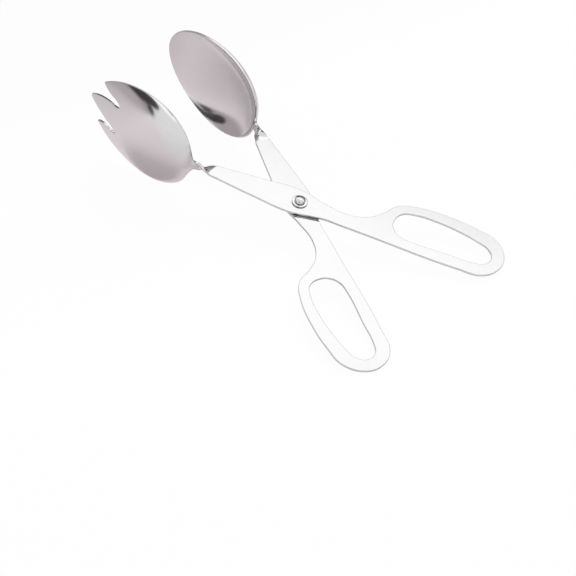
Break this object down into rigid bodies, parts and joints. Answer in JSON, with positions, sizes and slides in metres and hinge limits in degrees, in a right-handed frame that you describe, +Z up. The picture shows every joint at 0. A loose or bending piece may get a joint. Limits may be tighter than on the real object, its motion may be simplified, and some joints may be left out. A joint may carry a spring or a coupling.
{
  "type": "scissor serving tongs",
  "caption": "Scissor tongs for serving salad: flat steel arms crossed on a domed rivet, with closed finger loops, a spoon bowl and a tined fork head that face each other.",
  "frame": {"origin": "middle of the pair's bounding box in plan, at the table's height, with the tongs lying half open on their lower rims and handle ends", "axes": "+X along the line midway between the arms, from the finger loops towards the heads; +Y towards the fork's side; +Z up from the table"},
  "size_m": [0.2476, 0.1388, 0.0645],
  "materials": {
    "spoon_arm": "polished stainless sheet",
    "fork_arm": "polished stainless sheet",
    "pivot_rivet": "bright polished",
    "head_washer": "bright polished"
  },
  "bodies": {
    "spoon_side": {"spoon_arm": "spoon_arm", "pivot_rivet": "pivot_rivet", "head_washer": "head_washer"},
    "fork_side": {"fork_arm": "fork_arm"}
  },
  "joints": [
    {"name": "pivot", "type": "hinge", "parent": "spoon_side", "child": "fork_side", "pos_m": [-0.01516, 0, 0.0174], "axis": [-0.144, 0, 0.9896], "range_deg": [-27.5, 90]}
  ]
}
